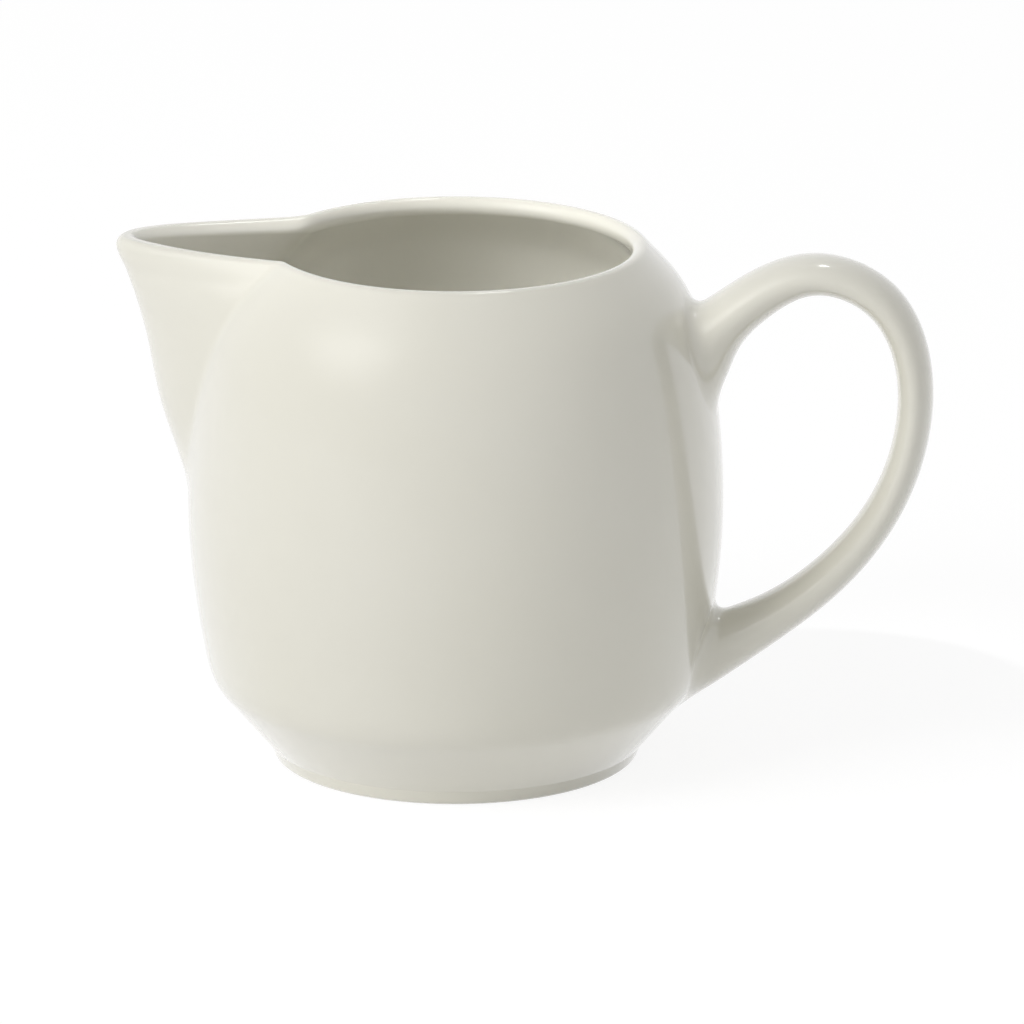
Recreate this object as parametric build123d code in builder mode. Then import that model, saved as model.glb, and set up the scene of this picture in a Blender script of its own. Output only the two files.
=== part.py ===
"""Porcelain cream jug: a cast body on a foot ring, a V-shaped pouring spout and a loop handle.

Millimetres, +Z up. The origin is the centre of the foot's resting face, on the axis of the body.
The handle points along +X and the spout along -X, so XZ is the plane of symmetry.
"""
from build123d import *
import os
from math import cos, radians, sin, sqrt

os.makedirs("parts", exist_ok=True)

# Body: radii and heights of its outer wall, from the foot up
foot_height = 2.4           # resting face to the underside of the body
neck_radius = 28.5          # where the body meets the foot
knee_radius = 36.4          # top of the straight taper
knee_height = 11.6
hip_radius = 39.2
hip_height = 18.0
belly_radius = 41.4         # widest ring
belly_height = 36.0
breast_radius = 40.9
breast_height = 54.0
shoulder_radius = 38.6
shoulder_height = 67.0
mouth_radius = 28.6         # crest of the rim
rim_height = 81.7
wall = 3.1
floor_thickness = 3.6
floor_corner = 6.0          # inside corner between floor and wall
lip_slope = 45.0            # degrees at which the shoulder runs into the round lip

# Foot ring
foot_radius = 27.5          # outer radius of the resting face
foot_inner_radius = 23.5
foot_edge = 0.7             # rounding of its resting edges

# Spout: a row for each level from its root up to the rim:
# depth below the rim, reach of the nose past the body's wall, half width where it meets the wall
spout_levels = [
    (38.5, -0.8, 9.0),
    (35.5, 0.9, 8.4),
    (31.5, 3.0, 9.8),
    (26.5, 5.0, 11.6),
    (19.5, 7.7, 13.6),
    (11.0, 12.2, 15.2),
    (5.5, 17.0, 15.6),
    (2.0, 21.4, 15.2),
    (0.0, 22.8, 14.6),
]
nose_share = (0.09, 0.31)   # roundness of the nose, in shares of a level's length and half width
flank_share = (0.59, 0.75)  # fullness of its flanks, in the same shares
spout_root_sink = 0.5       # how far inside the wall's face the flanks meet it
spout_root_depth = 10.0     # how far the flanks are carried in behind the wall
spout_root_flare = 1.25     # and how much wider they get there
spout_lip = 1.3             # rounding of the spout's rim

# Handle: a row for each station from its upper to its lower root:
# reach past the belly, height, half thickness and half width
handle_stations = [
    (-5.4, 65.0, 8.0, 8.0),
    (0.4, 70.4, 5.6, 7.1),
    (5.4, 75.2, 4.1, 6.4),
    (13.6, 78.3, 3.1, 5.8),
    (24.2, 74.2, 2.9, 5.5),
    (29.3, 65.0, 2.75, 5.4),
    (29.3, 54.0, 2.75, 5.4),
    (25.1, 43.0, 2.8, 5.4),
    (16.6, 31.8, 3.1, 5.6),
    (7.4, 23.9, 3.8, 6.1),
    (0.6, 19.4, 5.2, 6.8),
    (-6.0, 15.6, 6.6, 7.4),
]
slip_thickness = 0.4        # film of slip that sticks the handle to the wall
slip_bead = 0.6             # how far the slip is squeezed out round the handle's ends

lip_radius = wall / 2
lip_height = rim_height - lip_radius
floor_height = foot_height + floor_thickness
taper = Vector(knee_radius - neck_radius, knee_height - foot_height).normalized()
lip_rise = Vector(-sin(radians(lip_slope)), cos(radians(lip_slope)))
inset_shares = [0.94, 0.86, 0.76, 0.64, 0.5, 0.36, 0.22, 0.1, 0.0]
section_shares = [0.0, 0.12, 0.24, 0.36, 0.43, 0.5, 0.57, 0.64, 0.76, 0.88, 1.0]
search_step = 1e-9          # how closely wall_radius() finds its place on the wall
same_height = 0.01          # how level an edge lies with the floor to count as its corner


def body_side(shift=0.0):
    """Outer wall in the XZ plane, from the top of the taper to the lip, moved out by a shift."""
    lip_start = Vector(mouth_radius, lip_height) + Vector(lip_rise.Y, -lip_rise.X) * lip_radius
    points = [
        (knee_radius, knee_height),
        (hip_radius, hip_height),
        (belly_radius, belly_height),
        (breast_radius, breast_height),
        (shoulder_radius, shoulder_height),
        (lip_start.X, lip_start.Y),
    ]
    return Spline(*[(x + shift, z) for x, z in points], tangents=(taper, lip_rise))


def inset_points(curve, distance, shares):
    """Points beside a curve, a distance to its left, one for each share of its length."""
    points = []
    for share in shares:
        place = curve.position_at(share)
        heading = curve.tangent_at(share)
        points.append((place.X - heading.Y * distance, place.Y + heading.X * distance))
    return points


def wall_radius(height):
    """Radius of the body's outer wall at a height above the knee."""
    low = 0.0
    high = 1.0
    while high - low > search_step:
        middle = (low + high) / 2
        if side_curve.position_at(middle, PositionMode.PARAMETER).Y < height:
            low = middle
        else:
            high = middle
    return side_curve.position_at(low, PositionMode.PARAMETER).X


def outer_form(shift=0.0):
    """The body's outer form as a solid, moved out by a shift and carried straight up past the rim."""
    top = rim_height + wall
    with BuildPart() as form:
        with BuildSketch(Plane.XZ):
            with BuildLine():
                neck = (neck_radius + shift, foot_height)
                Polyline((0, foot_height), neck, (knee_radius + shift, knee_height))
                body_side(shift)
                crest = CenterArc((mouth_radius + shift, lip_height), lip_radius, lip_slope, 90 - lip_slope)
                Polyline(crest @ 1, (mouth_radius + shift, top), (0, top), (0, foot_height))
            make_face()
        revolve(axis=Axis.Z)
    return form.part


def spout_outline(depth, reach, half_width):
    """Points of the spout's section at one level: a rounded V that opens towards the body."""
    radius = wall_radius(rim_height - depth)
    nose = radius + reach
    root = sqrt(radius**2 - half_width**2) - spout_root_sink
    back = root - spout_root_depth
    length = nose - root
    half = [
        (back, half_width * spout_root_flare),
        (root, half_width),
        (nose - length * flank_share[0], half_width * flank_share[1]),
        (nose - length * nose_share[0], half_width * nose_share[1]),
    ]
    near_side = [(-x, -y) for x, y in half]
    far_side = [(-x, y) for x, y in reversed(half)]
    return near_side + [(-nose, 0)] + far_side


side_curve = body_side()

# The channel inside the spout: the same levels, a wall's thickness in, carried past the rim
with BuildPart() as channel:
    for depth, reach, half_width in spout_levels:
        outline = Spline(*spout_outline(depth, reach, half_width))
        with BuildSketch(Plane.XY.offset(rim_height - depth)):
            with BuildLine():
                inner = Spline(*inset_points(outline, -wall, section_shares))
                Line(inner @ 1, inner @ 0)
            make_face()
    loft()
    extrude(channel.faces().sort_by(Axis.Z)[-1], amount=wall)

# Body: a turned shell with a round lip, open into the spout
with BuildPart() as body:
    with BuildSketch(Plane.XZ):
        with BuildLine():
            Polyline((0, foot_height), (neck_radius, foot_height), (knee_radius, knee_height))
            outer = body_side()
            lip = CenterArc((mouth_radius, lip_height), lip_radius, lip_slope, 180 - lip_slope)
            inner_points = inset_points(outer, wall, inset_shares)
            inner_side = Spline(lip @ 1, *inner_points, tangents=((0, -1), -taper))
            knee_inside = Vector(*inner_points[-1])
            corner = knee_inside - taper * ((knee_inside.Y - floor_height) / taper.Y)
            Polyline(inner_side @ 1, (corner.X, floor_height), (0, floor_height), (0, foot_height))
        make_face()
    revolve(axis=Axis.Z)
    floor_edge = body.edges().filter_by_position(
        Axis.Z, floor_height - same_height, floor_height + same_height
    )
    fillet(floor_edge, radius=floor_corner)
    add(channel.part, mode=Mode.SUBTRACT)
body.part.label = "body"
export_step(body.part, "parts/body.step")

# Spout: a tapering V of the same wall, its rim rounded, its root cut to the body's wall
with BuildPart() as spout:
    for depth, reach, half_width in spout_levels:
        with BuildSketch(Plane.XY.offset(rim_height - depth)):
            with BuildLine():
                outline = Spline(*spout_outline(depth, reach, half_width))
                Line(outline @ 1, outline @ 0)
            make_face()
    loft()
    add(channel.part, mode=Mode.SUBTRACT)
    rim_edges = spout.edges().group_by(Axis.Z)[-1].filter_by(GeomType.BSPLINE)
    fillet(rim_edges, radius=spout_lip)
    add(outer_form(), mode=Mode.SUBTRACT)
spout.part.label = "spout"
export_step(spout.part, "parts/spout.step")

# Foot ring: a short collar with a flat resting face
with BuildPart() as foot_ring:
    with BuildSketch(Plane.XZ):
        with BuildLine():
            Polyline(
                (foot_inner_radius, 0),
                (foot_radius, 0),
                (neck_radius, foot_height),
                (foot_inner_radius, foot_height),
                close=True,
            )
        make_face()
    revolve(axis=Axis.Z)
    fillet(foot_ring.edges().group_by(Axis.Z)[0], radius=foot_edge)
foot_ring.part.label = "foot_ring"
export_step(foot_ring.part, "parts/foot_ring.step")

# Handle: an oval strap that swells towards both roots, its ends cut to the slip on the wall
centres = [(belly_radius + reach, 0, height) for reach, height, _, _ in handle_stations]
centre_line = Spline(*centres)


def handle_loft(growth):
    """The handle's full loft, carried into the wall, with every section larger by a growth."""
    with BuildPart() as strap:
        for centre, (_, _, half_thickness, half_width) in zip(centres, handle_stations):
            share = centre_line.param_at_point(centre)
            heading = centre_line.tangent_at(share)
            with BuildSketch(Plane(origin=centre, x_dir=(0, 1, 0), z_dir=heading)):
                Ellipse(half_width + growth, half_thickness + growth)
        loft()
    return strap.part


with BuildPart() as handle:
    add(handle_loft(0))
    add(outer_form(slip_thickness), mode=Mode.SUBTRACT)
handle.part.label = "handle"
export_step(handle.part, "parts/handle.step")

# Luting slip: a thin pad on the wall under each end of the handle
with BuildPart() as slips:
    add(handle_loft(slip_bead))
    add(outer_form(slip_thickness), mode=Mode.INTERSECT)
    add(outer_form(), mode=Mode.SUBTRACT)
pads = slips.part.solids().sort_by(Axis.Z)
with BuildPart() as upper_luting_slip:
    add(pads[-1])
upper_luting_slip.part.label = "upper_luting_slip"
export_step(upper_luting_slip.part, "parts/upper_luting_slip.step")
with BuildPart() as lower_luting_slip:
    add(pads[0])
lower_luting_slip.part.label = "lower_luting_slip"
export_step(lower_luting_slip.part, "parts/lower_luting_slip.step")
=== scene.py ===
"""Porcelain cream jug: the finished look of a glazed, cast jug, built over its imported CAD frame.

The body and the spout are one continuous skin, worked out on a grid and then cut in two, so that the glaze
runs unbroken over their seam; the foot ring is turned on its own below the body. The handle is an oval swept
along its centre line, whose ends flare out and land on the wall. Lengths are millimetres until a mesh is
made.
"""

import logging
import math
from dataclasses import dataclass, field
from enum import Enum
from typing import Optional

import bpy
import numpy as np
from mathutils import Matrix, Vector


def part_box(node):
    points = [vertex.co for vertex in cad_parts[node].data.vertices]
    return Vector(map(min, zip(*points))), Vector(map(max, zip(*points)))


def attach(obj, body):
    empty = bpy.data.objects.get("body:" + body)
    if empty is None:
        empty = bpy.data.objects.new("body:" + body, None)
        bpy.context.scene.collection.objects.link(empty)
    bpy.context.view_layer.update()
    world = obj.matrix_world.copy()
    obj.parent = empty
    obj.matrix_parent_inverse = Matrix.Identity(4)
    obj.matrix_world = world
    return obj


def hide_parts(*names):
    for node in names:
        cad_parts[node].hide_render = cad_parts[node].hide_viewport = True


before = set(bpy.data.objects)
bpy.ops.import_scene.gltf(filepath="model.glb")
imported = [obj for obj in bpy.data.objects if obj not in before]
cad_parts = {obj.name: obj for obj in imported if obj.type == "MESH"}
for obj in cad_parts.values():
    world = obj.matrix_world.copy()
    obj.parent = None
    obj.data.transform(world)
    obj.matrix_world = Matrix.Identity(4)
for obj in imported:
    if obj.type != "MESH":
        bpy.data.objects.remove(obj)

MM = 0.001
# Places at which the wall's profile and the spout's two lines are sampled, close enough to read between.
PROFILE_SAMPLES = 20001
SPOUT_SAMPLES = 2001
log = logging.getLogger("cream_jug")


class Finish(Enum):
    """The finishes of the jug, by the name of their material."""

    GLAZE = "ivory_glaze"
    BARE_FOOT = "bare_foot"
    SLIP = "fired_slip"


# ---- Curves and fields ----


class SmoothLine:
    """A cubic line through points, with even curvature, parametrised by the chords between them."""

    def __init__(
        self,
        points: list[tuple[float, ...]],
        start: Optional[tuple[float, ...]] = None,
        end: Optional[tuple[float, ...]] = None,
    ) -> None:
        """Solves for the headings at the points.

        Args:
            points: the points that the line passes through.
            start: heading at the first point, of any length. None leaves that end unbent.
            end: heading at the last point. None leaves that end unbent.
        """
        self.points = np.array(points, float)
        chords = np.linalg.norm(np.diff(self.points, axis=0), axis=1)
        self.knots = np.concatenate([[0.0], np.cumsum(chords)])
        count = len(self.points)
        matrix = np.zeros((count, count))
        right = np.zeros_like(self.points)
        slopes = np.diff(self.points, axis=0) / chords[:, None]
        inner = np.arange(1, count - 1)
        matrix[inner, inner - 1] = chords[1:]
        matrix[inner, inner] = 2 * (chords[:-1] + chords[1:])
        matrix[inner, inner + 1] = chords[:-1]
        right[inner] = 3 * (chords[1:, None] * slopes[:-1] + chords[:-1, None] * slopes[1:])
        for row, neighbour, heading in ((0, 1, start), (count - 1, count - 2, end)):
            if heading is None:
                matrix[row, row], matrix[row, neighbour] = 2.0, 1.0
                right[row] = 3 * slopes[0 if row == 0 else -1]
            else:
                matrix[row, row] = 1.0
                right[row] = np.array(heading, float) / np.linalg.norm(heading)
        self.headings = np.linalg.solve(matrix, right)

    def at(self, places: np.ndarray) -> np.ndarray:
        """Points of the line.

        Args:
            places: places along the line, from 0 at its start to 1 at its end.

        Returns:
            An array of one point for each place, by Hermite's formula on each span.
        """
        lengths = np.clip(places, 0, 1) * self.knots[-1]
        span = np.clip(np.searchsorted(self.knots, lengths, side="right") - 1, 0, len(self.knots) - 2)
        width = (self.knots[span + 1] - self.knots[span])[..., None]
        t = (lengths - self.knots[span])[..., None] / width
        return (
            (1 + 2 * t) * (1 - t) ** 2 * self.points[span]
            + t * (1 - t) ** 2 * width * self.headings[span]
            + t**2 * (3 - 2 * t) * self.points[span + 1]
            + t**2 * (t - 1) * width * self.headings[span + 1]
        )


def smoothstep(low: float, high: float, value: np.ndarray) -> np.ndarray:
    """An S-shaped rise from 0 at low to 1 at high: 3t squared less 2t cubed."""
    t = np.clip((value - low) / (high - low), 0, 1)
    return t * t * (3 - 2 * t)


def smooth_larger(first: np.ndarray, second: np.ndarray, blend: np.ndarray) -> np.ndarray:
    """The larger of two fields, rounded where they cross: their mean plus half the root of the sum of
    the squares of their difference and of the blend."""
    return (first + second + np.sqrt((first - second) ** 2 + blend**2)) / 2


def gather_at_ends(t: np.ndarray, amount: float) -> np.ndarray:
    """Moves even places in 0..1 closer together at both ends: t less a sine of one full turn."""
    return t - amount * np.sin(2 * math.pi * t) / (2 * math.pi)


def half_turns(angles: np.ndarray) -> np.ndarray:
    """Angles of up to a full turn, brought to between minus and plus half a turn."""
    return np.where(angles > math.pi, angles - 2 * math.pi, angles)


def unit(vectors: np.ndarray) -> np.ndarray:
    """Vectors of the last axis, each divided by its length."""
    return vectors / np.maximum(np.linalg.norm(vectors, axis=-1, keepdims=True), 1e-12)


def grid_normals(grid: np.ndarray, closed: bool = True) -> np.ndarray:
    """Unit normals of a grid surface: the cross product of its steps along columns and rows.

    Args:
        grid: points, rows by columns by 3, whose columns run anticlockwise seen from outside above.
        closed: whether the last column is followed by the first.

    Returns:
        An array of the grid's shape.
    """
    rows = np.gradient(grid, axis=0)
    if closed:
        columns = (np.roll(grid, -1, axis=1) - np.roll(grid, 1, axis=1)) / 2
    else:
        columns = np.gradient(grid, axis=1)
    return unit(np.cross(columns, rows))


# ---- Meshes ----


@dataclass
class MeshParts:
    """Faces collected for one piece, with a normal for every face corner."""

    points: np.ndarray
    faces: list[np.ndarray] = field(default_factory=list)
    normals: list[np.ndarray] = field(default_factory=list)
    finishes: list[int] = field(default_factory=list)
    flats: list[bool] = field(default_factory=list)
    inside: Optional[np.ndarray] = None

    def add_smooth(self, faces: np.ndarray, normals: np.ndarray, finish: int = 0) -> None:
        """Adds faces whose corners take the surface's own normals.

        Args:
            faces: indices of the corners, one row a face.
            normals: normals of all the points.
            finish: index of the material.
        """
        self.faces.append(faces)
        self.normals.append(normals[faces])
        self.finishes.append(finish)
        self.flats.append(False)

    def add_flat(self, faces: np.ndarray, finish: int = 0) -> None:
        """Adds faces that each take their own plane's normal: the cross product of a quad's diagonals,
        or of the two sides at a triangle's last corner.

        Args:
            faces: indices of the corners, one row a face.
            finish: index of the material.
        """
        corners = self.points[faces]
        across = np.cross(corners[:, 2] - corners[:, 0], corners[:, -1] - corners[:, 1])
        self.faces.append(faces)
        self.normals.append(np.repeat(unit(across)[:, None, :], faces.shape[1], axis=1))
        self.finishes.append(finish)
        self.flats.append(True)

    def add_ends(self, index: np.ndarray, outward: bool = True) -> None:
        """Closes a grid's first and last rings with flat fans, about the two points that follow it.

        Args:
            index: indices of the grid's points.
            outward: whether the grid's own faces look out of the piece.
        """
        step = -1 if outward else 1
        self.add_flat(fan(index.size, index[0])[:, ::step])
        self.add_flat(fan(index.size + 1, index[-1])[:, ::-step])

    def build(self, name: str) -> bpy.types.Object:
        """Makes the mesh object, in metres, from the points that its faces use.

        Args:
            name: name of the object and its mesh.

        Returns:
            The object, linked to the scene.
        """
        corners = np.concatenate([f.ravel() for f in self.faces])
        used, corners = np.unique(corners, return_inverse=True)
        totals = np.concatenate([np.full(len(f), f.shape[1]) for f in self.faces])
        starts = np.concatenate([[0], np.cumsum(totals)[:-1]])
        finishes = np.concatenate([np.full(len(f), m) for f, m in zip(self.faces, self.finishes)])
        mesh = bpy.data.meshes.new(name)
        mesh.vertices.add(len(used))
        mesh.vertices.foreach_set("co", (self.points[used] * MM).astype(np.float32).ravel())
        mesh.loops.add(len(corners))
        mesh.loops.foreach_set("vertex_index", corners.astype(np.int32).ravel())
        mesh.polygons.add(len(totals))
        mesh.polygons.foreach_set("loop_start", starts.astype(np.int32))
        mesh.polygons.foreach_set("material_index", finishes.astype(np.int32))
        mesh.update(calc_edges=True)
        mesh.validate()
        smooth = np.concatenate([np.full(len(f), not flat) for f, flat in zip(self.faces, self.flats)])
        mesh.polygons.foreach_set("use_smooth", smooth)
        normals = np.concatenate([n.reshape(-1, 3) for n in self.normals])
        mesh.normals_split_custom_set(normals.astype(np.float32).tolist())
        # The share of painted inner light, which lightens the glaze inside the mouth, goes to the point
        # attribute "inside".
        if self.inside is not None:
            share = mesh.attributes.new("inside", "FLOAT", "POINT")
            share.data.foreach_set("value", self.inside[used].astype(np.float32))
        piece = bpy.data.objects.new(name, mesh)
        bpy.context.scene.collection.objects.link(piece)
        return piece


def grid_index(grid: np.ndarray, start: int = 0) -> np.ndarray:
    """Indices of a grid's points, rows by columns, counted from start."""
    return np.arange(start, start + grid.size // 3).reshape(grid.shape[:2])


def grid_faces(index: np.ndarray, closed: bool = True) -> np.ndarray:
    """Quads of a grid of point indices, facing out as grid_normals does.

    Args:
        index: indices of the points, rows by columns.
        closed: whether the last column joins the first.

    Returns:
        One row of four indices for each face, rows by columns by 4.
    """
    right = np.roll(index, -1, axis=1) if closed else index[:, 1:]
    left = index if closed else index[:, :-1]
    return np.stack([left[:-1], right[:-1], right[1:], left[1:]], axis=-1)


def with_centres(grid: np.ndarray) -> np.ndarray:
    """Points of a grid, then the centres of its first and last rings."""
    return np.concatenate([grid.reshape(-1, 3), grid[[0, -1]].mean(axis=1)])


def fan(centre: int, ring: np.ndarray) -> np.ndarray:
    """Triangles from a centre to a closed ring, which runs anticlockwise seen from outside."""
    return np.stack([np.full(len(ring), centre), ring, np.roll(ring, -1)], axis=-1)


# ---- The vessel: body, spout and foot ring ----


@dataclass
class Vessel:
    """The thrown form with its spout: sizes of the skin, and the meshes cut from it."""

    rim_height: float
    foot_height: float
    nose_reach: float
    wall: float = 3.1
    # The profile's points, as radius and height, from the foot up.
    neck_radius: float = 29.2
    knee: tuple[float, float] = (36.8, 11.4)
    hip: tuple[float, float] = (39.2, 18.0)
    belly: tuple[float, float] = (41.4, 36.0)
    breast: tuple[float, float] = (40.95, 53.0)
    shoulder: tuple[float, float] = (38.9, 66.0)
    collar: tuple[float, float] = (35.2, 75.0)
    mouth_radius: float = 28.6
    lip_slope: float = math.radians(45)
    floor_height: float = 6.0
    floor_corner: float = 6.0
    foot_radius: float = 28.2
    foot_inner_radius: float = 23.5
    foot_edge: float = 0.7
    # The swelling under the spout's rim: how proud it is, where it begins and where it has gone.
    bead: float = 0.25
    bead_start: float = 0.7
    bead_depth: float = 3.4
    nose_play: float = 0.12
    nose_lean: float = 0.75
    crease_blend: float = 1.7
    # The spout dies away between these shares of the angle from its middle to its crease.
    spout_fade: tuple[float, float] = (1.15, 1.6)
    spout_foot: float = 43.6
    # The rows follow the height of the lip over this much of the wall.
    lip_reach: float = 16.0
    outer_rows: int = 130
    lip_rows: int = 28
    body_columns: int = 210
    body_gather: float = 0.8
    spout_columns: int = 70
    spout_gather: float = 0.55
    foot_columns: int = 240

    def __post_init__(self) -> None:
        """Works out the profile and the spout's lines, then the whole skin."""
        self.lip_radius = self.wall / 2
        self.taper = np.array(self.knee) - np.array([self.neck_radius, self.foot_height])
        self.taper /= np.linalg.norm(self.taper)
        samples = self._side_line().at(np.linspace(0, 1, PROFILE_SAMPLES))
        self.side_heights = np.concatenate([[self.foot_height], samples[:, 1]])
        self.side_radii = np.concatenate([[self.neck_radius], samples[:, 0]])
        self._spout_lines()
        self._make_skin()

    def _side_line(self) -> SmoothLine:
        """Profile of the wall from the knee to the lip, through its hip, belly and shoulder."""
        lip_centre = np.array([self.mouth_radius, self.rim_height - self.lip_radius])
        level, rise = math.cos(self.lip_slope), math.sin(self.lip_slope)
        lip_start = lip_centre + self.lip_radius * np.array([level, rise])
        self.side_top = float(lip_start[1])
        points = [self.knee, self.hip, self.belly, self.breast, self.shoulder, self.collar, tuple(lip_start)]
        return SmoothLine(points, tuple(self.taper), (-rise, level))

    def wall_radius(self, height: np.ndarray) -> np.ndarray:
        """Radius of the thrown wall at a height, read from close samples of its profile."""
        return np.interp(height, self.side_heights, self.side_radii)

    def _spout_lines(self) -> None:
        """The spout's keel (reach of its nose) and its half width at the wall, both by height."""
        top = self.nose_reach - self.bead - self.nose_play
        keel = SmoothLine([
            (41.4, 39.0), (41.4, 40.6), (41.5, 42.0), (41.75, 43.4), (42.5, 46.0), (44.2, 50.5), (45.9, 55.6),
            (47.0, 60.7), (48.1, 66.4), (49.5, 71.5), (50.9, 75.6), (top, 79.6),
            (top + self.nose_lean, self.rim_height),
        ]).at(np.linspace(0, 1, SPOUT_SAMPLES))
        flank = SmoothLine([
            (7.0, 40.6), (8.2, 44.0), (9.6, 49.0), (11.5, 55.0), (13.6, 62.0),
            (15.1, 70.5), (15.5, 76.0), (14.6, 80.0), (14.1, self.rim_height),
        ]).at(np.linspace(0, 1, SPOUT_SAMPLES))
        self.keel_line = (keel[:, 1], keel[:, 0])
        self.flank_line = (flank[:, 1], flank[:, 0])

    def outer_radius(self, angle: np.ndarray, height: np.ndarray) -> np.ndarray:
        """Distance of the outer skin from the axis.

        The spout's level section is a parabola from its nose to the crease, cut by a ray from the
        axis, and the skin is the larger of that and the thrown wall, with the crease rounded.

        Args:
            angle: angle from the spout, in radians, from -pi to pi.
            height: height above the table.

        Returns:
            The distance, of the arguments' common shape.
        """
        wall = self.wall_radius(height)
        nose = np.interp(height, *self.keel_line)
        flank = np.interp(height, *self.flank_line)
        # The parabola's length from nose to crease, and both divisors below, are kept above zero.
        length = np.maximum(nose - np.sqrt(wall**2 - flank**2), 0.02)
        ahead = np.cos(angle)
        bend = length * np.sin(angle) ** 2 / flank**2
        spout = 2 * nose / np.maximum(ahead + np.sqrt(ahead**2 + 4 * nose * bend), 0.1)
        proud = nose - wall
        # The crease's blend is a tenth tighter near the rim, and grows over the spout's first 2 mm.
        tighter = 1 - 0.1 * smoothstep(60.0, 78.0, height)
        blend = self.crease_blend * tighter * smoothstep(0.0, 2.0, proud)
        on_spout = (ahead > 0.2) & (proud > 0) & (height > self.keel_line[0][0])
        spout = np.where(on_spout, spout, 0.0)
        joined = np.where(spout > wall - 6 * blend, smooth_larger(wall, spout, blend / 2), wall)
        share = np.abs(angle) / np.arcsin(flank / wall)
        return wall + (joined - wall) * (1 - smoothstep(*self.spout_fade, share))

    def crease_angle(self, height: np.ndarray) -> np.ndarray:
        """Angle from the spout's middle to its crease at a height."""
        level = np.clip(height, self.spout_foot, self.rim_height)
        wall = self.wall_radius(np.minimum(level, self.side_top))
        return np.arcsin(np.interp(level, *self.flank_line) / wall)

    def _columns(self, height: np.ndarray) -> np.ndarray:
        """Angles of the columns at each row: spout first, from one crease to the other.

        Columns stand closer together near the creases, on both sides of each.
        """
        crease = self.crease_angle(height)[:, None]
        across = np.linspace(-1, 1, 2 * self.spout_columns + 1)
        spout = crease * np.sign(across) * gather_at_ends(np.abs(across), self.spout_gather)
        around = np.linspace(0, 1, self.body_columns + 1)[1:-1]
        body = crease + (2 * math.pi - 2 * crease) * gather_at_ends(around, self.body_gather)
        return np.concatenate([spout, body], axis=1)

    def _wall_grid(self, heights: np.ndarray, angles: np.ndarray) -> np.ndarray:
        """Points of the outer skin at given heights and angles from the spout, which points to -X."""
        radius = self.outer_radius(half_turns(angles), heights)
        return np.stack([-radius * np.cos(angles), -radius * np.sin(angles), heights], axis=-1)

    def _make_skin(self) -> None:
        """The whole skin as one grid of rows by columns.

        Rows run up the outer wall, over the lip as a half circle from the outer skin to the inner,
        down the inner wall, a wall's thickness in along the normal, and over the corner to the floor.
        """
        t = np.linspace(0, 1, self.outer_rows)
        levels = self.foot_height + (self.side_top - self.foot_height) * (1 - (1 - t) ** 1.3)
        self.first_spout_row = int(np.searchsorted(levels, self.spout_foot))
        angles = self._columns(levels)
        turned = np.abs(half_turns(angles))
        on_spout = 1 - smoothstep(-0.035, 0.05, turned - self.crease_angle(levels)[:, None])
        ramp = smoothstep(self.side_top - self.lip_reach, self.side_top, levels)[:, None]
        # The lip starts as high as the wall's slope there asks for, which three rounds settle.
        lift = np.zeros(angles.shape[1])
        for _ in range(3):
            top = self.rim_height - self.lip_radius + self.lip_radius * lift
            heights = levels[:, None] + (top - self.side_top)[None, :] * ramp
            base = self._wall_grid(heights, angles)
            normals = grid_normals(base)
            lift = normals[-1, :, 2]
        depth = heights[-1][None, :] - heights
        bulge = self.bead * on_spout * (1 - smoothstep(self.bead_start, self.bead_depth, depth))
        outer = base + normals * bulge[..., None]
        inner_rows = levels > self.knee[1] + 1.0
        inner = (base - normals * self.wall)[inner_rows][::-1]
        self.grid = np.concatenate([outer, self._lip(outer, inner), inner, self._floor_rows(inner[-1])])
        self.normals = grid_normals(self.grid)
        self.lip_start = self.outer_rows - 1
        self.inner_start = self.outer_rows + self.lip_rows - 1

    def _lip(self, outer: np.ndarray, inner: np.ndarray) -> np.ndarray:
        """Rows of the lip: in each column a half circle, cosine outwards and sine upwards.

        Args:
            outer: rows of the outer wall, whose last row the lip starts from.
            inner: rows of the inner wall, whose first row it ends at.

        Returns:
            The rows between the two, none of them above the rim's height.
        """
        turn = np.linspace(0, math.pi, self.lip_rows + 1)[1:-1, None, None]
        middle = (outer[-1] + inner[0]) / 2
        out = (outer[-1] - inner[0]) / 2
        up = unit(outer[-1] - outer[-2])
        along = np.sum(up * out, axis=-1, keepdims=True)
        up = unit(up - out * along / np.sum(out * out, axis=-1, keepdims=True))
        up *= np.linalg.norm(out, axis=-1, keepdims=True)
        lip = middle + out * np.cos(turn) + up * np.sin(turn)
        lip[..., 2] = np.minimum(lip[..., 2], self.rim_height)
        return lip

    def _floor_rows(self, last: np.ndarray) -> np.ndarray:
        """Rows from the inner wall's last ring down the taper, round the corner and over the floor."""
        radius = np.hypot(last[:, 0], last[:, 1]).mean()
        height = last[:, 2].mean()
        slope = math.atan2(self.taper[1], self.taper[0])
        turn = self.floor_corner * math.tan(slope / 2)
        foot = radius - (height - self.floor_height) * self.taper[0] / self.taper[1]
        centre = np.array([foot - turn, self.floor_height + self.floor_corner])
        arc = np.linspace(slope - math.pi / 2, -math.pi / 2, 16)
        bend = centre + self.floor_corner * np.stack([np.cos(arc), np.sin(arc)], axis=-1)
        start = np.array([radius, height])
        run = start + (bend[0] - start) * np.linspace(0, 1, 8)[1:-1, None]
        flat = np.stack([np.linspace(bend[-1, 0], 0.6, 14)[1:], np.full(13, self.floor_height)], axis=-1)
        profile = np.concatenate([run, bend, flat])
        heading = unit(last[:, :2])
        rings = profile[:, :1, None] * heading[None]
        tall = np.repeat(profile[:, 1][:, None, None], len(last), axis=1)
        return np.concatenate([rings, tall], axis=-1)

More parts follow.
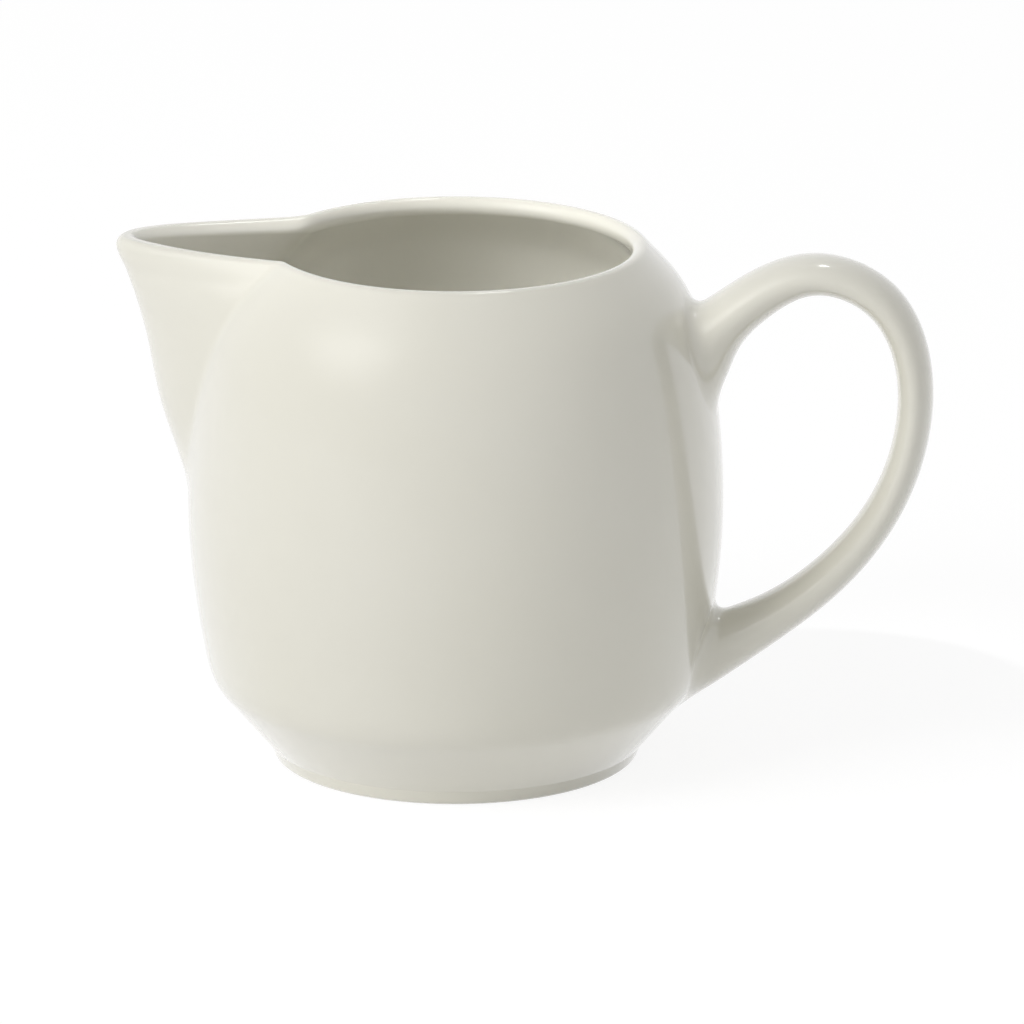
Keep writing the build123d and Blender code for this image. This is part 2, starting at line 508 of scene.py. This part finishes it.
    def _seam_faces(self, index: np.ndarray) -> list[np.ndarray]:
        """Faces of the seam between body and spout, facing away from the spout's piece.

        Each side runs up the crease as a ladder from the outer to the inner skin and closes over
        the lip, and the foot of the seam is one row of faces across the wall.

        Args:
            index: indices of the skin's points.

        Returns:
            Arrays of quads and triangles.
        """
        first = self.first_spout_row
        last_outer = self.lip_start
        count = last_outer - first
        half = self.lip_rows // 2
        outer_rows = np.arange(first, last_outer + half)
        inner_rows = self.inner_start + count - (outer_rows - first)
        ladders = []
        for column, flip in ((0, True), (2 * self.spout_columns, False)):
            out, inn = index[outer_rows, column], index[inner_rows, column]
            quads = np.stack([out[:-1], inn[:-1], inn[1:], out[1:]], axis=-1)
            crest = index[last_outer + half, column]
            cap = np.array([[out[-1], inn[-1], crest]])
            ladders += [quads[:, ::-1], cap[:, ::-1]] if flip else [quads, cap]
        out = index[first, : 2 * self.spout_columns + 1]
        inn = index[self.inner_start + count, : 2 * self.spout_columns + 1]
        ladders.append(np.stack([out[:-1], inn[:-1], inn[1:], out[1:]], axis=-1))
        return ladders

    def build(self) -> tuple[bpy.types.Object, bpy.types.Object]:
        """Cuts the skin at the crease into the spout and the body, and closes both.

        Returns:
            The body and the spout.
        """
        rows, columns = self.grid.shape[:2]
        index = grid_index(self.grid)
        underside = self._underside()
        under_index = grid_index(underside, index.size)
        floor_centre = index.size + under_index.size
        centres = [[0, 0, self.floor_height], [0, 0, self.foot_height]]
        extra = np.concatenate([underside.reshape(-1, 3), centres])
        points = np.concatenate([self.grid.reshape(-1, 3), extra])
        normals = np.concatenate([self.normals.reshape(-1, 3), np.tile([0.0, 0.0, -1.0], (len(extra), 1))])
        normals[floor_centre] = (0.0, 0.0, 1.0)
        faces = grid_faces(index)
        patch = np.zeros(faces.shape[:2], bool)
        first, count = self.first_spout_row, self.lip_start - self.first_spout_row
        patch[first : self.inner_start + count, : 2 * self.spout_columns] = True
        seam = self._seam_faces(index)

        # Share of the painted inner light: none outside, rising over the inner half of the lip, full down the
        # inner wall and over the floor.
        lip = (np.arange(rows) - self.lip_start) / (self.inner_start - self.lip_start)
        inside = np.repeat(smoothstep(0.45, 1.0, lip), columns)
        inside = np.concatenate([inside, np.zeros(len(extra))])
        inside[floor_centre] = 1.0
        spout = MeshParts(points, inside=inside)
        spout.add_smooth(faces[patch], normals)
        body = MeshParts(points, inside=inside)
        body.add_smooth(faces[~patch], normals)
        body.add_smooth(fan(floor_centre, index[-1]), normals)
        for wall in seam:
            spout.add_flat(wall)
            body.add_flat(wall[:, ::-1])
        rings = np.concatenate([under_index, index[:1]])
        body.add_flat(grid_faces(rings).reshape(-1, 4))
        body.add_flat(fan(floor_centre + 1, rings[0])[:, ::-1])
        return body.build("jug_body"), spout.build("jug_spout")

    def _underside(self) -> np.ndarray:
        """Flat rings of the body's underside, from near its centre out to the neck."""
        heading = unit(self.grid[0][:, :2])
        radii = np.linspace(1.0, self.neck_radius - 0.6, 12)
        rings = radii[:, None, None] * heading[None]
        return np.concatenate([rings, np.full(rings.shape[:2] + (1,), self.foot_height)], axis=-1)

    def build_foot_ring(self) -> bpy.types.Object:
        """The foot ring: a closed outline turned about the axis, its bare resting face below.

        Returns:
            The foot ring.
        """
        lean = (self.neck_radius - self.foot_radius) / self.foot_height
        arc = np.linspace(0, math.pi / 2, 9)
        # What each rounded edge takes off, from nothing to foot_edge and the other way.
        growing, shrinking = self.foot_edge * (1 - np.cos(arc)), self.foot_edge * (1 - np.sin(arc))
        outer_edge = np.stack([self.foot_radius - shrinking + lean * growing, growing], axis=-1)
        inner_edge = np.stack([self.foot_inner_radius + growing, shrinking], axis=-1)
        rise = np.linspace(0, 1, 8)[1:, None]
        outer_top = np.array([self.neck_radius, self.foot_height])
        side = outer_edge[-1] + (outer_top - outer_edge[-1]) * rise
        top = np.array([[self.foot_inner_radius, self.foot_height]])
        inner_side = top + (inner_edge[0] - top) * np.linspace(0, 1, 6)[1:-1, None]
        rest = np.linspace(inner_edge[-1], outer_edge[0], 5)[1:-1]
        profile = np.concatenate([rest, outer_edge, side, top, inner_side, inner_edge])
        angles = np.linspace(0, 2 * math.pi, self.foot_columns, endpoint=False)
        rings = np.stack([
            profile[:, :1] * np.cos(angles), profile[:, :1] * np.sin(angles),
            np.repeat(profile[:, 1:], len(angles), axis=1),
        ], axis=-1)
        index = grid_index(rings)
        parts = MeshParts(rings.reshape(-1, 3))
        bare_rows = len(rest)
        corner = bare_rows + len(outer_edge) + len(side) - 1
        for first, last in ((bare_rows, corner), (corner + 1, len(profile) - 1)):
            normals = np.zeros_like(rings)
            normals[first : last + 1] = grid_normals(rings[first : last + 1])
            parts.add_smooth(grid_faces(index[first : last + 1]).reshape(-1, 4), normals.reshape(-1, 3))
        parts.add_flat(grid_faces(index[corner : corner + 2]).reshape(-1, 4))
        resting = np.concatenate([index[-1:], index[: bare_rows + 1]])
        parts.add_flat(grid_faces(resting).reshape(-1, 4), finish=1)
        return parts.build("jug_foot_ring")


# ---- The handle ----


@dataclass
class Handle:
    """The loop handle: an oval swept along its centre line, with both ends flared on to the wall."""

    vessel: Vessel
    stations: tuple[tuple[float, float, float, float], ...] = (
        (28.5, 56.5, 8.6, 8.4),
        (35.3, 63.8, 7.4, 8.0),
        (41.2, 70.2, 4.5, 7.0),
        (46.7, 74.8, 3.7, 6.3),
        (55.2, 78.4, 3.1, 5.7),
        (65.8, 74.6, 2.95, 5.4),
        (70.65, 65.0, 2.8, 5.2),
        (70.75, 54.0, 2.75, 5.2),
        (67.3, 43.0, 2.8, 5.2),
        (58.9, 31.3, 3.1, 5.4),
        (49.4, 23.6, 3.6, 5.9),
        (42.2, 19.4, 4.6, 6.6),
        (34.6, 15.3, 5.6, 7.4),
        (24.0, 9.8, 6.2, 7.8),
    )
    clearance: float = 2.6
    skirt: float = 3.0
    around: int = 96
    along: int = 170
    fillet_rows: int = 18
    landing_sink: float = 0.03
    buried_share: float = 0.8
    buried_sink: float = 0.9
    slip_share: float = 0.9
    slip_core: float = 0.1
    slip_thickness: float = 0.3

    def _sweep(self, places: np.ndarray, turns: np.ndarray) -> np.ndarray:
        """Points of the swept oval.

        The section at each place lies square to the centre line, with its half width along Y and
        its half thickness along the line's normal in the XZ plane.

        Args:
            places: places along the centre line, rows by columns.
            turns: angles round the section, rows by columns.

        Returns:
            An array of rows by columns by 3.
        """
        step = 1e-4
        here = self.line.at(places)
        heading = unit((self.line.at(places + step) - self.line.at(places - step))[..., :2])
        normal = np.stack([heading[..., 1], -heading[..., 0]], axis=-1)
        across = np.cos(turns) * here[..., 2]
        side = -np.sin(turns) * here[..., 3]
        return np.stack([
            here[..., 0] - normal[..., 0] * across,
            side,
            here[..., 1] - normal[..., 1] * across,
        ], axis=-1)

    def _distance(self, points: np.ndarray) -> np.ndarray:
        """Distance of points outside the wall, along the radius."""
        return np.hypot(points[..., 0], points[..., 1]) - self.vessel.wall_radius(points[..., 2])

    def _land(self, touch: np.ndarray, away: np.ndarray, sink: float) -> np.ndarray:
        """Moves points of the wall along it and sets them back on its face, or a little inside."""
        moved = touch + away
        radius = self.vessel.wall_radius(moved[..., 2]) - sink
        flat = unit(moved[..., :2]) * radius[..., None]
        return np.concatenate([flat, moved[..., 2:]], axis=-1)

    def _end(self, start: np.ndarray, touch: np.ndarray, outward: np.ndarray) -> np.ndarray:
        """One flared end: a quadratic Bezier from the strap to the wall, then a ring inside it.

        Args:
            start: ring where the strap ends.
            touch: ring where the strap would meet the wall, the Bezier's control points.
            outward: the strap's outward normals there.

        Returns:
            Rows from the ring after start to one inside the wall.
        """
        radial = np.concatenate([unit(touch[:, :2]), np.zeros((len(touch), 1))], axis=-1)
        step = 0.05
        above, below = (self.vessel.wall_radius(touch[:, 2] + way) for way in (step, -step))
        wall_normal = unit(radial - [[0.0, 0.0, 1.0]] * ((above - below) / (2 * step))[:, None])
        away = outward - wall_normal * np.sum(outward * wall_normal, axis=-1, keepdims=True)
        away = unit(away) * self.skirt
        landing = self._land(touch, away, self.landing_sink)
        t = np.linspace(0, 1, self.fillet_rows + 1)[1:, None, None]
        bezier = (1 - t) ** 2 * start + 2 * t * (1 - t) * touch + t**2 * landing
        buried = self._land(touch, away * self.buried_share, self.buried_sink)
        return np.concatenate([bezier, buried[None]])

    def build(self) -> bpy.types.Object:
        """Sweeps the strap between its two flares and closes it inside the wall.

        Returns:
            The handle.
        """
        self.line = SmoothLine(list(self.stations))
        turns = np.linspace(0, 2 * math.pi, self.around, endpoint=False)
        fine = np.linspace(0, 1, 3001)
        place_grid, turn_grid = np.meshgrid(fine, turns, indexing="ij")
        distance = self._distance(self._sweep(place_grid, turn_grid))
        middle = len(fine) // 2

        def crossing(level: float, upper: bool) -> np.ndarray:
            """Place on each line round the strap where its distance from the wall passes a level."""
            part = distance[:middle][::-1] if upper else distance[middle:]
            steps = np.argmax(part < level, axis=0)
            before = np.take_along_axis(part, steps[None] - 1, axis=0)[0]
            after = np.take_along_axis(part, steps[None], axis=0)[0]
            share = steps - 1 + (before - level) / (before - after)
            return fine[middle - 1] - share * fine[1] if upper else fine[middle] + share * fine[1]

        top_touch, foot_touch = crossing(0.0, True), crossing(0.0, False)
        top_clear, foot_clear = crossing(self.clearance, True), crossing(self.clearance, False)
        share = np.linspace(0, 1, self.along)[:, None]
        strap = self._sweep(top_clear + (foot_clear - top_clear) * share, np.tile(turns, (self.along, 1)))
        normals = grid_normals(strap)
        self.touch = (self._sweep(top_touch, turns), self._sweep(foot_touch, turns))
        top = self._end(strap[0], self.touch[0], normals[0])
        foot = self._end(strap[-1], self.touch[1], normals[-1])
        grid = np.concatenate([top[::-1], strap, foot])
        index = grid_index(grid)
        parts = MeshParts(with_centres(grid))
        faces = grid_faces(index)
        parts.add_smooth(faces[1:-1].reshape(-1, 4), grid_normals(grid).reshape(-1, 3))
        parts.add_flat(faces[[0, -1]].reshape(-1, 4))
        parts.add_ends(index)
        return parts.build("jug_handle")

    def build_slip(self, name: str, touch: np.ndarray) -> bpy.types.Object:
        """The film of slip under one end: an oval patch of the wall, thickened outwards.

        Args:
            name: name of the piece.
            touch: ring where the strap meets the wall.

        Returns:
            The film, which the end of the handle covers.
        """
        middle = touch[:, 1:].mean(axis=0)
        share = np.linspace(self.slip_share, self.slip_core, 8)[:, None, None]
        flat = middle + (touch[:, 1:] - middle) * share
        radius = self.vessel.wall_radius(flat[..., 1])
        outer, inner = (
            np.concatenate([np.sqrt((radius + offset) ** 2 - flat[..., 0] ** 2)[..., None], flat], axis=-1)
            for offset in (self.slip_thickness, 0.0)
        )
        grid = np.concatenate([outer[::-1], inner])
        # The rings must run anticlockwise seen from outside, which is from +X.
        centre = grid[0].mean(axis=0)
        if np.cross(grid[0, 1] - centre, grid[0, 2] - centre)[0] <= 0:
            grid = grid[:, ::-1]
        index = grid_index(grid)
        parts = MeshParts(with_centres(grid))
        parts.add_flat(grid_faces(index).reshape(-1, 4)[:, ::-1])
        parts.add_ends(index, outward=False)
        return parts.build(name)


# ---- Finishes ----


def add_node(
    tree: bpy.types.NodeTree, kind: str, inputs: Optional[dict[str | int, object]] = None, **settings: object
) -> bpy.types.Node:
    """Adds a shader node to a tree and wires it up.

    Args:
        tree: the tree.
        kind: the node's type, without the ShaderNode that it begins with.
        inputs: what its sockets take, by name or number: an output to link, or a plain value.
        settings: its properties.

    Returns:
        The node.
    """
    node = tree.nodes.new("ShaderNode" + kind)
    for name, value in settings.items():
        setattr(node, name, value)
    for socket, source in (inputs or {}).items():
        if isinstance(source, bpy.types.NodeSocket):
            tree.links.new(source, node.inputs[socket])
        else:
            node.inputs[socket].default_value = source
    return node


@dataclass(frozen=True)
class GlazeSkin:
    """The small unevenness that all the finishes share: pooled tone, iron specks and a faint ripple.

    Scales are in cells of the pattern to the metre, and speck sizes are shares of a cell.
    """

    drift_scale: float = 28.0
    drift_band: tuple[float, float] = (0.35, 0.65)
    speck_scale: float = 62.0
    speck_edge: tuple[float, float] = (0.020, 0.012)
    bare_share: float = 0.86
    ripple_scale: float = 120.0
    grain_scale: float = 900.0
    grain_share: float = 0.25

    def build(self) -> bpy.types.ShaderNodeTree:
        """Makes the node group.

        Returns:
            The group, with inputs for the tone, the pooled tone, the speck tone and the painted inner
            light, and outputs Color and Height. The mesh's attribute "inside" says how much of the painted
            inner light shows. That is a lighter copy of the glaze inside the mouth, painted light that
            brightens the interior.
        """
        group = bpy.data.node_groups.new("glaze_skin", "ShaderNodeTree")
        for name in ("Tone", "Pooled Tone", "Speck Tone", "Inner Painted Light"):
            group.interface.new_socket(name, in_out="INPUT", socket_type="NodeSocketColor")
        group.interface.new_socket("Color", in_out="OUTPUT", socket_type="NodeSocketColor")
        group.interface.new_socket("Height", in_out="OUTPUT", socket_type="NodeSocketFloat")
        given = group.nodes.new("NodeGroupInput").outputs
        result = group.nodes.new("NodeGroupOutput").inputs
        place = add_node(group, "TexCoord").outputs["Object"]

        def noise(scale: float, detail: float) -> bpy.types.NodeSocket:
            """A noise texture on object coordinates."""
            inputs = {"Vector": place, "Scale": scale, "Detail": detail}
            return add_node(group, "TexNoise", inputs).outputs["Fac"]

        def band(value: bpy.types.NodeSocket, limits: tuple[float, float]) -> bpy.types.NodeSocket:
            """A value's rise from 0 at the first limit to 1 at the second."""
            inputs = {"Value": value, "From Min": limits[0], "From Max": limits[1]}
            return add_node(group, "MapRange", inputs).outputs["Result"]

        def reckon(operation: str, first: bpy.types.NodeSocket, second: object) -> bpy.types.NodeSocket:
            """A sum, product or comparison of a value with another, or with a number."""
            return add_node(group, "Math", {0: first, 1: second}, operation=operation).outputs["Value"]

        def mix(share: bpy.types.NodeSocket, under: object, over: object) -> bpy.types.NodeSocket:
            """A mix of two colours by a share: inputs 6 and 7 and output 2 are the colour ones."""
            return add_node(group, "Mix", {0: share, 6: under, 7: over}, data_type="RGBA").outputs[2]

        drift = band(noise(self.drift_scale, 2.0), self.drift_band)
        tone = mix(drift, given["Tone"], given["Pooled Tone"])
        inside = add_node(group, "Attribute", attribute_name="inside").outputs["Fac"]
        # Painted light: inside the mouth the colour turns to a lighter tone, which brightens the interior in
        # place of light.
        tone = mix(inside, tone, given["Inner Painted Light"])

        cells = add_node(group, "TexVoronoi", {"Vector": place, "Scale": self.speck_scale}).outputs
        draw = add_node(group, "SeparateColor", {"Color": cells["Color"]}).outputs["Red"]
        chosen = reckon("GREATER_THAN", draw, self.bare_share)
        speck = reckon("MULTIPLY", band(cells["Distance"], self.speck_edge), chosen)
        group.links.new(mix(speck, tone, given["Speck Tone"]), result["Color"])

        grain = reckon("MULTIPLY", noise(self.grain_scale, 2.0), self.grain_share)
        group.links.new(reckon("ADD", noise(self.ripple_scale, 1.0), grain), result["Height"])
        return group


@dataclass(frozen=True)
class CeramicFinish:
    """One ceramic finish: its tones and how glossy it is."""

    finish: Finish
    tone: tuple[float, float, float]
    pooled_tone: tuple[float, float, float]
    speck_tone: tuple[float, float, float]
    # The lighter tone inside the mouth is painted light, not a colour of the glaze.
    inner_painted_light: tuple[float, float, float]
    roughness: float
    coat: float
    coat_roughness: float
    ripple: float
    refraction: float = 1.5
    ripple_depth: float = 0.0003

    def material(self, skin: bpy.types.ShaderNodeTree) -> bpy.types.Material:
        """Makes the material, with the shared unevenness feeding its colour and normal.

        Args:
            skin: the node group that GlazeSkin makes.

        Returns:
            The material.
        """
        made = bpy.data.materials.new(self.finish.value)
        made.use_nodes = True
        tree = made.node_tree
        shader = tree.nodes["Principled BSDF"]
        for name, value in (
            ("Roughness", self.roughness), ("IOR", self.refraction), ("Coat Weight", self.coat),
            ("Coat Roughness", self.coat_roughness), ("Coat IOR", self.refraction),
        ):
            shader.inputs[name].default_value = value
        group = add_node(tree, "Group", node_tree=skin)
        for name, tone in (
            ("Tone", self.tone), ("Pooled Tone", self.pooled_tone),
            ("Speck Tone", self.speck_tone), ("Inner Painted Light", self.inner_painted_light),
        ):
            group.inputs[name].default_value = (*tone, 1.0)
        tree.links.new(group.outputs["Color"], shader.inputs["Base Color"])
        bump = add_node(tree, "Bump", {
            "Strength": self.ripple, "Distance": self.ripple_depth, "Height": group.outputs["Height"],
        })
        tree.links.new(bump.outputs["Normal"], shader.inputs["Normal"])
        return made


IVORY_GLAZE = CeramicFinish(
    Finish.GLAZE,
    tone=(0.765, 0.748, 0.662),
    pooled_tone=(0.752, 0.734, 0.642),
    speck_tone=(0.22, 0.16, 0.10),
    # Painted light: a lighter copy of the glaze for the inside of the mouth.
    inner_painted_light=(0.875, 0.862, 0.785),
    roughness=0.22,
    coat=1.0,
    coat_roughness=0.03,
    ripple=0.05,
)
BARE_FOOT = CeramicFinish(
    Finish.BARE_FOOT,
    tone=(0.72, 0.69, 0.61),
    pooled_tone=(0.66, 0.62, 0.53),
    speck_tone=(0.30, 0.22, 0.15),
    inner_painted_light=(0.72, 0.69, 0.61),
    roughness=0.75,
    coat=0.0,
    coat_roughness=0.5,
    ripple=0.4,
)
FIRED_SLIP = CeramicFinish(
    Finish.SLIP,
    tone=(0.75, 0.73, 0.655),
    pooled_tone=(0.74, 0.72, 0.64),
    speck_tone=(0.22, 0.16, 0.10),
    inner_painted_light=(0.75, 0.73, 0.655),
    roughness=0.3,
    coat=0.8,
    coat_roughness=0.06,
    ripple=0.1,
)


# ---- The studio ----


def facing(heading: tuple[float, float, float], aim: Vector, distance: float) -> Matrix:
    """Place of a lamp or panel that stands off from what it is aimed at, and faces it.

    Args:
        heading: heading from the aim to the lamp, of any length.
        aim: the point that it faces.
        distance: how far off it stands.

    Returns:
        Its world matrix.
    """
    back = Vector(heading).normalized()
    return Matrix.Translation(aim + back * distance) @ back.to_track_quat("Z", "Y").to_matrix().to_4x4()


def square(name: str, half: float) -> bpy.types.Object:
    """A level square about its own origin, twice half on a side, linked to the scene."""
    mesh = bpy.data.meshes.new(name)
    corners = [(-half, -half, 0), (half, -half, 0), (half, half, 0), (-half, half, 0)]
    mesh.from_pydata(corners, [], [(0, 1, 2, 3)])
    piece = bpy.data.objects.new(name, mesh)
    bpy.context.scene.collection.objects.link(piece)
    return piece


def plain_material(name: str) -> tuple[bpy.types.Material, bpy.types.NodeTree]:
    """A material with nothing but its output node, and its tree."""
    made = bpy.data.materials.new(name)
    made.use_nodes = True
    made.node_tree.nodes.remove(made.node_tree.nodes["Principled BSDF"])
    return made, made.node_tree


@dataclass
class Studio:
    """Camera, lamps, world and floor. Lengths here are metres, and lamp powers are watts."""

    azimuth: float = math.radians(6.5)
    elevation: float = math.radians(16.4)
    distance: float = 1.5
    focal_length: float = 340.1
    sensor_width: float = 36.0
    clip: tuple[float, float] = (0.05, 50.0)
    look_right: float = 0.00873
    look_height: float = 0.0386
    fill: float = 0.485
    key_heading: tuple[float, float, float] = (-0.63, -0.55, 0.55)
    key_size: float = 1.1
    key_power: float = 18.4
    floor_half: float = 20.0
    floor_tone: float = 0.9
    floor_glow: float = 0.86
    floor_shade: float = 0.2
    spot_aim: tuple[float, float, float] = (0.014, 0.021, 0.064)
    spot_heading: tuple[float, float, float] = (-0.55, -0.35, 0.76)
    spot_distance: float = 1.2
    spot_angle: float = math.radians(2.1)
    spot_size: float = 0.03
    spot_power: float = 80.0
    crest_heading: tuple[float, float, float] = (0.05, 0.42, 0.88)
    crest_size: float = 0.24
    crest_power: float = 1.1
    panel_heading: tuple[float, float, float] = (-0.554, -0.440, 0.707)
    panel_distance: float = 1.9
    panel_radius: float = 1.3
    panel_glow: float = 1.65

    def add_camera(self) -> None:
        """A long lens, a little above the rim, with the handle turned slightly towards it."""
        back = Vector((
            math.sin(self.azimuth) * math.cos(self.elevation),
            -math.cos(self.azimuth) * math.cos(self.elevation),
            math.sin(self.elevation),
        ))
        right = Vector((math.cos(self.azimuth), math.sin(self.azimuth), 0))
        data = bpy.data.cameras.new("camera")
        data.lens = self.focal_length
        data.sensor_width = self.sensor_width
        data.clip_start, data.clip_end = self.clip
        camera = bpy.data.objects.new("camera", data)
        up = back.cross(right)
        target = right * self.look_right + Vector((0, 0, self.look_height))
        turn = Matrix((right, up, back)).transposed()
        camera.matrix_world = Matrix.Translation(target + back * self.distance) @ turn.to_4x4()
        bpy.context.scene.collection.objects.link(camera)
        bpy.context.scene.camera = camera

    def _add_lamp(self, data: bpy.types.Light, place: Matrix) -> bpy.types.Object:
        """Hangs a lamp in its place, under its own name."""
        lamp = bpy.data.objects.new(data.name, data)
        lamp.matrix_world = place
        bpy.context.scene.collection.objects.link(lamp)
        return lamp

    def _add_disk(
        self, name: str, heading: tuple[float, float, float], size: float, power: float
    ) -> bpy.types.Object:
        """A round lamp as far off as the soft box, aimed at the middle of the jug."""
        data = bpy.data.lights.new(name, "AREA")
        data.shape, data.size, data.energy = "DISK", size, power
        aim = Vector((0, 0, self.look_height))
        return self._add_lamp(data, facing(heading, aim, self.panel_distance))

    def add_key(self) -> None:
        """A broad lamp from the upper left, kept out of the gloss, where the soft box shows instead."""
        lamp = self._add_disk("key", self.key_heading, self.key_size, self.key_power)
        lamp.visible_glossy = False

    def add_crest_light(self) -> None:
        """A small lamp high behind the jug that only the gloss shows, as a thin line on each crest."""
        lamp = self._add_disk("crest_light", self.crest_heading, self.crest_size, self.crest_power)
        lamp.visible_diffuse = False

    def add_mouth_light(self) -> None:
        """A narrow spot that shines into the mouth, on to the far inner wall."""
        data = bpy.data.lights.new("mouth_light", "SPOT")
        data.energy, data.spot_size, data.spot_blend = self.spot_power, self.spot_angle, 1.0
        data.shadow_soft_size = self.spot_size
        lamp = self._add_lamp(data, facing(self.spot_heading, Vector(self.spot_aim), self.spot_distance))
        lamp.visible_glossy = False

    def add_soft_box(self) -> None:
        """A large glowing panel aimed at the jug, brightest at its middle and fading to its edge."""
        panel = square("soft_box", self.panel_radius)
        aim = Vector((0, 0, self.look_height))
        panel.matrix_world = facing(self.panel_heading, aim, self.panel_distance)
        panel.visible_camera = False
        panel.visible_diffuse = False
        panel.visible_shadow = False
        made, tree = plain_material("soft_box_glow")
        place = add_node(tree, "TexCoord").outputs["Object"]
        length = add_node(tree, "VectorMath", {0: place}, operation="LENGTH").outputs["Value"]
        fade = add_node(tree, "MapRange", {
            "Value": length, "From Min": 0.0, "From Max": self.panel_radius,
            "To Min": self.panel_glow, "To Max": 1.0,
        }, interpolation_type="SMOOTHSTEP")
        glow = add_node(tree, "Emission", {"Strength": fade.outputs["Result"]})
        tree.links.new(glow.outputs[0], tree.nodes["Material Output"].inputs["Surface"])
        panel.data.materials.append(made)

    def add_world(self) -> None:
        """A soft white room: full white to camera, gloss and glass, and a plain fill to the rest."""
        world = bpy.data.worlds.new("room")
        bpy.context.scene.world = world
        world.use_nodes = True
        tree = world.node_tree
        background = tree.nodes["Background"]
        background.inputs["Color"].default_value = (1, 1, 1, 1)
        strength = add_node(tree, "MapRange", {"Value": self._seen(tree), "To Min": self.fill, "To Max": 1.0})
        tree.links.new(strength.outputs["Result"], background.inputs["Strength"])

    def _seen(self, tree: bpy.types.NodeTree) -> bpy.types.NodeSocket:
        """Value that is 1 for camera, glossy and transmission rays and 0 for the rest."""
        rays = add_node(tree, "LightPath").outputs
        total = rays["Is Camera Ray"]
        for name in ("Is Glossy Ray", "Is Transmission Ray"):
            both = add_node(tree, "Math", {0: total, 1: rays[name]}, operation="ADD", use_clamp=True)
            total = both.outputs["Value"]
        return total

    def add_floor(self) -> None:
        """A broad pale floor that looks white, and keeps a faint shadow of the jug."""
        floor = square("floor", self.floor_half)
        made, tree = plain_material("floor_paper")
        glow = add_node(tree, "Emission", {"Strength": self.floor_glow})
        shade = add_node(tree, "BsdfDiffuse", {"Color": (*[self.floor_shade] * 3, 1)})
        white = add_node(tree, "AddShader", {0: glow.outputs[0], 1: shade.outputs[0]})
        plain = add_node(tree, "BsdfDiffuse", {"Color": (*[self.floor_tone] * 3, 1)})
        choose = add_node(tree, "MixShader", {0: self._seen(tree), 1: plain.outputs[0], 2: white.outputs[0]})
        tree.links.new(choose.outputs[0], tree.nodes["Material Output"].inputs["Surface"])
        floor.data.materials.append(made)

    def build(self) -> None:
        """Sets the whole studio up."""
        bpy.context.scene.view_settings.view_transform = "Standard"
        self.add_camera()
        self.add_world()
        self.add_floor()
        self.add_key()
        self.add_soft_box()
        self.add_mouth_light()
        self.add_crest_light()


# ---- Assembly ----


def dress(piece: bpy.types.Object, node: str, materials: list[bpy.types.Material]) -> None:
    """Gives a piece its materials and ties it to the frame.

    Args:
        piece: the piece.
        node: the CAD node that it replaces.
        materials: its materials, in the order of its faces' indices.
    """
    for material in materials:
        piece.data.materials.append(material)
    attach(piece, "root")
    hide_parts(node)
    log.info("%s: %d faces, replaces %s", piece.name, len(piece.data.polygons), node)


def main() -> None:
    """Builds the studio and the jug."""
    logging.basicConfig(level=logging.INFO, format="%(name)s %(message)s")
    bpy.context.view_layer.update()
    Studio().build()
    skin = GlazeSkin().build()
    glaze, bare, slip = (f.material(skin) for f in (IVORY_GLAZE, BARE_FOOT, FIRED_SLIP))
    vessel = Vessel(
        rim_height=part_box("body")[1].z / MM,
        foot_height=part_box("foot_ring")[1].z / MM,
        nose_reach=-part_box("spout")[0].x / MM,
    )
    body, spout = vessel.build()
    dress(body, "body", [glaze])
    dress(spout, "spout", [glaze])
    dress(vessel.build_foot_ring(), "foot_ring", [glaze, bare])
    handle = Handle(vessel)
    dress(handle.build(), "handle", [glaze])
    for end, touch in zip(("upper", "lower"), handle.touch):
        film = handle.build_slip(f"jug_{end}_slip", touch)
        dress(film, f"{end}_luting_slip", [slip])


if __name__ == "__main__":
    main()
